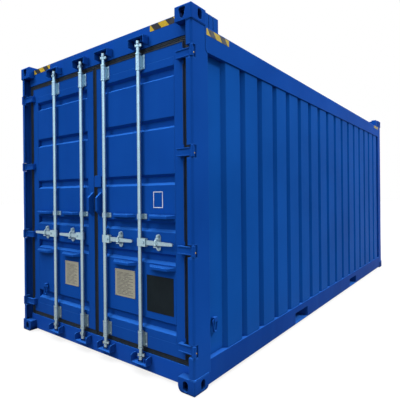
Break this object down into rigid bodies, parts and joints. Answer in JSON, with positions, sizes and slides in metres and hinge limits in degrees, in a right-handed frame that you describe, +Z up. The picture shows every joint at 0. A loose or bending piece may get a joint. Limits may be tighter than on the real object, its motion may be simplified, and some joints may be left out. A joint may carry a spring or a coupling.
{
  "type": "shipping container",
  "caption": "High cube twenty-foot shipping container with corrugated walls, hinged end doors, lock rods with handles, corner castings and fork pockets.",
  "frame": {"origin": "on the ground, under the middle of the container", "axes": "+Z up, +Y along the length towards the closed front wall, so the doors face -Y; +X to the right of a person facing the doors"},
  "size_m": [2.438, 6.058, 2.896],
  "materials": {
    "blue_paint": "satin, weathered",
    "galvanised": "galvanised, dull",
    "gasket": "matte",
    "floor_timber": "worn boards"
  },
  "bodies": {
    "container_frame": {"top_castings": "blue_paint", "bottom_castings": "blue_paint", "corner_blocks": "blue_paint", "rear_posts": "blue_paint", "front_posts": "blue_paint", "door_header": "blue_paint", "door_sill": "blue_paint", "front_header": "blue_paint", "front_sill": "blue_paint", "top_side_rails": "blue_paint", "bottom_side_rails": "blue_paint", "right_wall": "blue_paint", "left_wall": "blue_paint", "front_wall": "blue_paint", "roof": "blue_paint", "floor": "floor_timber", "cross_members": "blue_paint", "fork_plates": "blue_paint", "fork_sides": "blue_paint", "hinge_brackets": "blue_paint", "keeper_cheeks": "blue_paint", "keeper_plates": "blue_paint", "keeper_lugs": "blue_paint", "wall_ring_lugs": "blue_paint"},
    "right_door": {"right_door_frame": "blue_paint", "right_door_panel": "blue_paint", "right_door_gasket": "gasket", "right_door_hinges": "blue_paint", "right_door_catches": "galvanised", "right_door_rod_mounts": "galvanised", "right_door_fittings": "blue_paint"},
    "left_door": {"left_door_frame": "blue_paint", "left_door_panel": "blue_paint", "left_door_gasket": "gasket", "left_door_hinges": "blue_paint", "left_door_catches": "galvanised", "left_door_rod_mounts": "galvanised", "left_door_fittings": "blue_paint", "left_door_ring_lug": "blue_paint"},
    "lock_rod_1": {"lock_rod_1": "galvanised", "lock_cams_1": "galvanised"},
    "lock_handle_1": {"lock_handle_1": "galvanised"},
    "lock_rod_2": {"lock_rod_2": "galvanised", "lock_cams_2": "galvanised"},
    "lock_handle_2": {"lock_handle_2": "galvanised"},
    "lock_rod_3": {"lock_rod_3": "galvanised", "lock_cams_3": "galvanised"},
    "lock_handle_3": {"lock_handle_3": "galvanised"},
    "lock_rod_4": {"lock_rod_4": "galvanised", "lock_cams_4": "galvanised"},
    "lock_handle_4": {"lock_handle_4": "galvanised"},
    "right_wall_ring": {"right_wall_ring": "blue_paint"},
    "left_wall_ring": {"left_wall_ring": "blue_paint"},
    "left_door_ring": {"left_door_ring": "blue_paint"}
  },
  "joints": [
    {"name": "right_door_swing", "type": "hinge", "parent": "container_frame", "child": "right_door", "pos_m": [1.204, -3.012, 0], "axis": [0, 0, 1], "range_deg": [0, 260]},
    {"name": "left_door_swing", "type": "hinge", "parent": "container_frame", "child": "left_door", "pos_m": [-1.204, -3.012, 0], "axis": [0, 0, -1], "range_deg": [0, 260]},
    {"name": "lock_rod_1_turn", "type": "hinge", "parent": "left_door", "child": "lock_rod_1", "pos_m": [-0.622, -2.991, 0], "axis": [0, 0, -1], "range_deg": [-100, 0]},
    {"name": "lock_rod_2_turn", "type": "hinge", "parent": "left_door", "child": "lock_rod_2", "pos_m": [-0.17001, -2.991, 0], "axis": [0, 0, -1], "range_deg": [-100, 0]},
    {"name": "lock_rod_3_turn", "type": "hinge", "parent": "right_door", "child": "lock_rod_3", "pos_m": [0.17001, -2.991, 0], "axis": [0, 0, 1], "range_deg": [-100, 0]},
    {"name": "lock_rod_4_turn", "type": "hinge", "parent": "right_door", "child": "lock_rod_4", "pos_m": [0.622, -2.991, 0], "axis": [0, 0, 1], "range_deg": [-100, 0]},
    {"name": "lock_handle_1_lift", "type": "hinge", "parent": "lock_rod_1", "child": "lock_handle_1", "pos_m": [-0.678, -2.994, 1.096], "axis": [0, -1, 0], "range_deg": [-25, 0]},
    {"name": "lock_handle_2_lift", "type": "hinge", "parent": "lock_rod_2", "child": "lock_handle_2", "pos_m": [-0.22601, -2.994, 1.096], "axis": [0, -1, 0], "range_deg": [-25, 0]},
    {"name": "lock_handle_3_lift", "type": "hinge", "parent": "lock_rod_3", "child": "lock_handle_3", "pos_m": [0.22601, -2.994, 1.096], "axis": [0, 1, 0], "range_deg": [-25, 0]},
    {"name": "lock_handle_4_lift", "type": "hinge", "parent": "lock_rod_4", "child": "lock_handle_4", "pos_m": [0.678, -2.994, 1.096], "axis": [0, 1, 0], "range_deg": [-25, 0]},
    {"name": "right_wall_ring_swing", "type": "hinge", "parent": "container_frame", "child": "right_wall_ring", "pos_m": [1.187, -2.72, 0.488], "axis": [0, 1, 0], "range_deg": [-100, 0]},
    {"name": "left_wall_ring_swing", "type": "hinge", "parent": "container_frame", "child": "left_wall_ring", "pos_m": [-1.187, -2.72, 0.488], "axis": [0, -1, 0], "range_deg": [-100, 0]},
    {"name": "left_door_ring_swing", "type": "hinge", "parent": "left_door", "child": "left_door_ring", "pos_m": [-0.833, -2.981, 0.534], "axis": [1, 0, 0], "range_deg": [-100, 0]}
  ]
}
